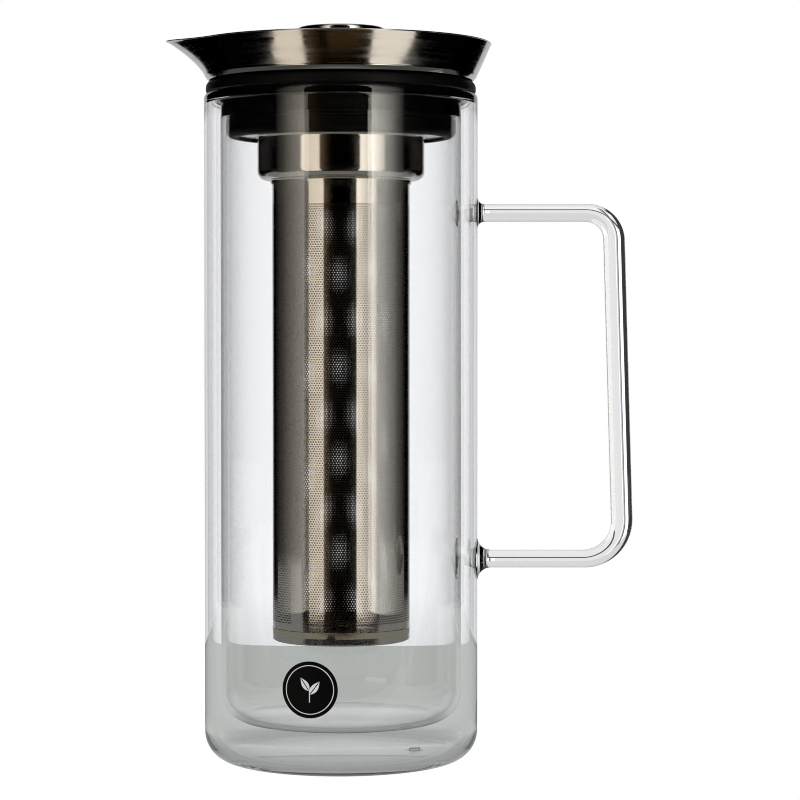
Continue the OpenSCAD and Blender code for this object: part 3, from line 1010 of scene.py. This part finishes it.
def card_material(name, colour, low_x, high_x, seen):
    """Glowing card, with its strength at its low and high X ends, clear to rays that fail its test."""
    made, glow, path, mix = stage_material(name)
    glow.inputs["Color"].default_value = (*colour, 1)
    spot = node(made, "ShaderNodeTexCoord")
    split = node(made, "ShaderNodeSeparateXYZ")
    link(made, spot.outputs["Generated"], split.inputs["Vector"])
    along = map_range(made, split.outputs["X"], 0, 1, low_x, high_x)
    link(made, combine(made, "MULTIPLY", along, faded(made, path)), glow.inputs["Strength"])
    clear = node(made, "ShaderNodeBsdfTransparent")
    link(made, clear.outputs["BSDF"], mix.inputs[1])
    link(made, seen(made, path), mix.inputs[0])
    return made


def stage_sheet(name, corners, made):
    """Flat sheet that belongs to the stage."""
    mesh = bpy.data.meshes.new(name)
    mesh.from_pydata(corners, [], [(0, 1, 2, 3)])
    mesh.materials.append(made)
    sheet = bpy.data.objects.new(name, mesh)
    bpy.context.scene.collection.objects.link(sheet)
    return sheet


def level_sheet(name, half, front, back, z, made):
    """Level sheet as wide to the left as to the right, between two values of Y."""
    return stage_sheet(name, [(-half, front, z), (half, front, z), (half, back, z), (-half, back, z)], made)


def card(name, turns, distance, heights, colour=BLACK, strength=0.0, far_share=1.0, seen=mirrored):
    """Upright card between two angles from the viewer's side, to the right in degrees, which the camera
    doesn't see. Its second end glows with a share of its first end's strength."""
    angles = [math.radians(turn) for turn in turns]
    (x0, y0), (x1, y1) = [(distance * math.sin(a), -distance * math.cos(a)) for a in angles]
    low, high = heights
    glows = (strength, strength * far_share) if x0 < x1 else (strength * far_share, strength)
    corners = [(x0, y0, low), (x1, y1, low), (x1, y1, high), (x0, y0, high)]
    sheet = stage_sheet(name, corners, card_material(name, colour, *glows, seen))
    sheet.visible_camera = False


# Table: its shades change with the distance from the jug's axis
TABLE_Z = -0.0004
TABLE_FRONT = -0.2
TABLE_BACK = 0.354
TABLE_HALF = 1.2
UNDER_JUG = (0.045, 0.075)
UNDER_SHADE = 0.56
INSIDE_SHADE = 0.42
BARE_NEAR = (0.09, 0.15)
BARE_SHADES = (0.85, 0.2)
BARE_END = (0.46, 0.52)
ROD_DARK = 0.045
ROD_TABLE = 0.86
ROD_DARK_END = 0.03


def build_table():
    """White to the camera, grey through the glass, dim in mirrored rays and clear from below."""
    made, glow, path, mix = stage_material("table")
    level_sheet("table", TABLE_HALF, TABLE_FRONT, TABLE_BACK, TABLE_Z, made)
    spot = node(made, "ShaderNodeNewGeometry")
    reach = node(made, "ShaderNodeVectorMath", operation="LENGTH")
    link(made, spot.outputs["Position"], reach.inputs[0])
    away = reach.outputs["Value"]

    grey = node(made, "ShaderNodeEmission", Color=(*TABLE_GREY, 1))
    shade = map_range(made, away, *UNDER_JUG, UNDER_SHADE, 1)
    shade = blend(made, mirrored_inside(made, path), shade, INSIDE_SHADE)
    nearer = map_range(made, away, *BARE_NEAR, *BARE_SHADES)
    bare = combine(made, "MULTIPLY", nearer, map_range(made, away, *BARE_END, 1, 0))
    shade = blend(made, mirrored_bare(made, path), shade, bare)
    link(made, shade, grey.inputs["Strength"])
    link(made, grey.outputs["Emission"], mix.inputs[1])

    rod = through_a_rod(made, path)
    across = node(made, "ShaderNodeSeparateXYZ")
    link(made, spot.outputs["Position"], across.inputs["Vector"])
    behind = map_range(made, across.outputs["X"], 0, ROD_DARK_END, ROD_DARK, ROD_TABLE)
    link(made, blend(made, rod, 1.0, behind), glow.inputs["Strength"])
    link(made, combine(made, "MAXIMUM", path.outputs["Is Camera Ray"], rod), mix.inputs[0])

    clear = node(made, "ShaderNodeBsdfTransparent")
    below = node(made, "ShaderNodeMixShader")
    link(made, spot.outputs["Backfacing"], below.inputs[0])
    link(made, mix.outputs["Shader"], below.inputs[1])
    link(made, clear.outputs["BSDF"], below.inputs[2])
    link(made, below.outputs["Shader"], made.node_tree.nodes["Material Output"].inputs["Surface"])


# Cards: distances and heights in metres, angles in degrees, with a first and a last value for each card
NEAR = 0.27
FAR = 0.6
RIM_FLAG_GAP = 0.01
COLLAR_FAR = 0.8
FRONT_FAR = 1.6
LEFT_BOX = (-26, -51)
RIGHT_BOX = (25.4, 59)
LEFT_GLASS = (-28, -52.1)
RIGHT_GLASS = (25.7, 53)
LEFT_COLLAR = (-31.8, -61)
RIGHT_COLLAR = (28.3, 63.6)
FRONT_HALF = 68
SIDE_TURN = 97
BACK_TURN = 128
EDGE_TURN = 150
RIM_TURNS = (108, 147)
BOX_HEIGHTS = (0.028, 0.8)
FAR_HEIGHTS = (0, 1.5)
COLLAR_HEIGHTS = (-0.59, -0.13)
FRONT_HEIGHTS = (-0.1, 1.2)
RIM_HEIGHTS = (-0.4, 1.5)
FLAG_HEIGHTS = (0.1, 0.9)
GLOW_STEPS = 4
GLOW_TURN = 4
GLOW_LIGHT = 0.09

# Lit cards: name, angles, distance, heights, colour, light at the first end, share at the last end, and test
LIGHT_CARDS = (
    ("softbox_left", LEFT_BOX, NEAR, BOX_HEIGHTS, WARM_LEFT, 1.26, 0.85, mirrored_inside),
    ("softbox_right", RIGHT_BOX, NEAR, BOX_HEIGHTS, WARM_RIGHT, 1.75, 0.25, mirrored_inside),
    ("glass_left", LEFT_GLASS, FAR, FAR_HEIGHTS, WARM_LEFT, 1.9, 0.05, mirrored_outside),
    ("glass_right", RIGHT_GLASS, FAR, FAR_HEIGHTS, WARM_RIGHT, 3.8, 0.05, mirrored_outside),
    ("collar_left", LEFT_COLLAR, COLLAR_FAR, COLLAR_HEIGHTS, WARM_LEFT, 1.3, 1.0, mirrored_bare),
    ("collar_right", RIGHT_COLLAR, COLLAR_FAR, COLLAR_HEIGHTS, WARM_RIGHT, 1.45, 1.0, mirrored_bare),
)

# Flags on each side: side, sign of its angles, where its softbox ends, and two heights where its flags change
FLAG_SIDES = (("left", -1, LEFT_BOX[1], 0.054, 0.022), ("right", 1, RIGHT_BOX[1], 0.062, 0.03))

# Bands of a dim floor in front of the jug: name, nearest and farthest distance, and glow
FLOOR_BANDS = (("far", 0.99, 2.6, 0.06), ("mid", 0.93, 0.99, 0.02), ("near", 0.2, 0.93, 0.0))
FLOOR_Z = -0.6
FLOOR_HALF = 2.0


def build_lights():
    """Softboxes for the infuser, the faces of the glass and the collar, and a glow beside the left one."""
    for row in LIGHT_CARDS:
        card(*row)
    for i in range(GLOW_STEPS):
        share = (i + 0.5) / GLOW_STEPS
        start = LEFT_BOX[0] + GLOW_TURN * i
        turns = (start, start + GLOW_TURN)
        card(f"glow_left_{i + 1}", turns, NEAR, BOX_HEIGHTS, AMBER, GLOW_LIGHT * (1 - share) ** 2)


def build_flags():
    """Black flags at both sides and across the front, and a dim floor."""
    for side, sign, box_end, front_step, back_step in FLAG_SIDES:
        front = (box_end, sign * SIDE_TURN)
        back = (sign * SIDE_TURN, sign * BACK_TURN)
        rim = [sign * turn for turn in RIM_TURNS]
        edge = (sign * BACK_TURN, sign * EDGE_TURN)
        far_low, far_high = FAR_HEIGHTS
        card(f"flag_{side}", front, NEAR, FLAG_HEIGHTS)
        card(f"flag_{side}_mid", front, NEAR, (front_step, FLAG_HEIGHTS[0]), seen=mirrored_behind)
        card(f"flag_{side}_low", front, NEAR, (0, front_step), seen=mirrored_caught)
        card(f"flag_{side}_back", back, FAR, (back_step, far_high))
        card(f"flag_{side}_back_low", back, FAR, (far_low, back_step), seen=mirrored_outside)
        card(f"flag_{side}_rim", rim, FAR - RIM_FLAG_GAP, RIM_HEIGHTS, seen=mirrored_bare)
        card(f"flag_{side}_edge", edge, FAR, FAR_HEIGHTS, seen=mirrored_by_face)
    card("dark_front", (-FRONT_HALF, FRONT_HALF), FRONT_FAR, FRONT_HEIGHTS)
    for band, near, far, light in FLOOR_BANDS:
        made = card_material(f"floor_{band}", AMBER, light, light, mirrored)
        level_sheet(f"floor_{band}", FLOOR_HALF, -far, -near, FLOOR_Z, made).visible_camera = False


# What the handle's rod bends into view: name, angles, distance, heights and light of each card
BACKDROP = 3.0
FAR_BACKDROP = 3.1
TALL = (-2, 4)
ROD_CARDS = (
    ("rod_dark_left", (-122, -160), BACKDROP, TALL, ROD_DARK),
    ("rod_line_3", (-173, -176), BACKDROP, TALL, 0.14),
    ("rod_line_2", (-176, -178), BACKDROP, TALL, 0.35),
    ("rod_line_1", (-178, -180), BACKDROP, TALL, 0.6),
    ("rod_pale_right", (124, 178), BACKDROP, (-0.3, 0.4), 0.84),
    ("rod_edge_right", (108, 124), BACKDROP, TALL, 0.3),
    ("rod_sky", (150, 210), FAR_BACKDROP, (0.36, 6), 0.72),
    ("rod_line_low", (150, 210), FAR_BACKDROP, (-0.47, -0.27), 0.1),
)

# Surround: ranges of a direction's rise and of its heading to the back, and the light in mirrored rays
CEILING_RISE = (0.12, 0.4)
STEEP_RISE = (0.35, 0.6)
SHINE_RISE = (0.1, 0.13)
FOOT_RISE = (-0.122, -0.1)
BACK_HEADINGS = (0.82, 0.985)
BACK_LIGHTS = (0.22, 0.52)
CAUGHT_LIGHT = 0.74
BARE_LIGHT = 0.55
WALL_FOOT = 0.78
FLOOR_SHINE = 0.72


def build_world():
    """Bright wall with a greyer ceiling, which falls off towards the sides in mirrored rays."""
    world = bpy.data.worlds.new("surround")
    bpy.context.scene.world = world
    world.use_nodes = True
    world.cycles.sampling_method = "NONE"
    world.node_tree.nodes.clear()
    output = node(world, "ShaderNodeOutputWorld")
    background = node(world, "ShaderNodeBackground")
    path = node(world, "ShaderNodeLightPath")
    camera_ray = path.outputs["Is Camera Ray"]
    direction = node(world, "ShaderNodeTexCoord").outputs["Generated"]
    split = node(world, "ShaderNodeSeparateXYZ")
    link(world, direction, split.inputs["Vector"])
    rise = split.outputs["Z"]
    higher = map_range(world, rise, *CEILING_RISE, 0, 1)
    surround = blend(world, higher, (*WALL_LIGHT, 1), (*CEILING_LIGHT, 1), "RGBA")
    seen = blend(world, camera_ray, surround, (*WHITE, 1), "RGBA")
    link(world, seen, background.inputs["Color"])

    level = node(world, "ShaderNodeVectorMath", operation="MULTIPLY")
    level.inputs[1].default_value = (1, 1, 0)
    unit = node(world, "ShaderNodeVectorMath", operation="NORMALIZE")
    heading = node(world, "ShaderNodeSeparateXYZ")
    link(world, direction, level.inputs[0])
    link(world, level.outputs["Vector"], unit.inputs[0])
    link(world, unit.outputs["Vector"], heading.inputs["Vector"])
    back = map_range(world, heading.outputs["Y"], *BACK_HEADINGS, *BACK_LIGHTS)
    steep = node(world, "ShaderNodeMath", operation="ABSOLUTE")
    link(world, rise, steep.inputs[0])
    around = blend(world, map_range(world, steep.outputs["Value"], *STEEP_RISE, 0, 1), back, 1.0)
    around = blend(world, map_range(world, rise, *SHINE_RISE, 0, 1), around, FLOOR_SHINE)
    foot = map_range(world, rise, *FOOT_RISE, WALL_FOOT, 1)
    shown = blend(world, camera_ray, foot, 1.0)
    shown = blend(world, mirrored(world, path), shown, CAUGHT_LIGHT)
    shown = blend(world, mirrored_bare(world, path), shown, BARE_LIGHT)
    shown = blend(world, mirrored_by_face(world, path), shown, around)
    link(world, combine(world, "MULTIPLY", shown, faded(world, path)), background.inputs["Strength"])
    link(world, background.outputs["Background"], output.inputs["Surface"])


build_table()
build_lights()
build_flags()
for name, turns, distance, heights, light in ROD_CARDS:
    card(name, turns, distance, heights, WHITE, light, seen=through_a_rod)
build_world()

# Camera: almost level, in front of the jug and a little towards the handle
CAMERA_PLACE = (0.0216, -1.0, 0.1611)
CAMERA_DIP = math.radians(1.662)
CAMERA_LENS = 122.7
SENSOR_W = 36.0
CLIP_START = 0.01
camera_data = bpy.data.cameras.new("camera")
camera_data.lens = CAMERA_LENS
camera_data.sensor_width = SENSOR_W
camera_data.clip_start = CLIP_START
camera = bpy.data.objects.new("camera", camera_data)
camera.location = CAMERA_PLACE
camera.rotation_euler = (math.pi / 2 - CAMERA_DIP, 0, 0)
bpy.context.scene.collection.objects.link(camera)

# Light paths long enough for both glass walls, front and back
BOUNCES = 40
GLOSSY_BOUNCES = 20
PIXEL_FILTER = 1.0
scene = bpy.context.scene
scene.camera = camera
scene.view_settings.view_transform = "Standard"
scene.view_settings.look = "None"
scene.cycles.max_bounces = BOUNCES
scene.cycles.transmission_bounces = BOUNCES
scene.cycles.glossy_bounces = GLOSSY_BOUNCES
scene.cycles.transparent_max_bounces = BOUNCES
scene.cycles.blur_glossy = 0.0
scene.cycles.filter_width = PIXEL_FILTER
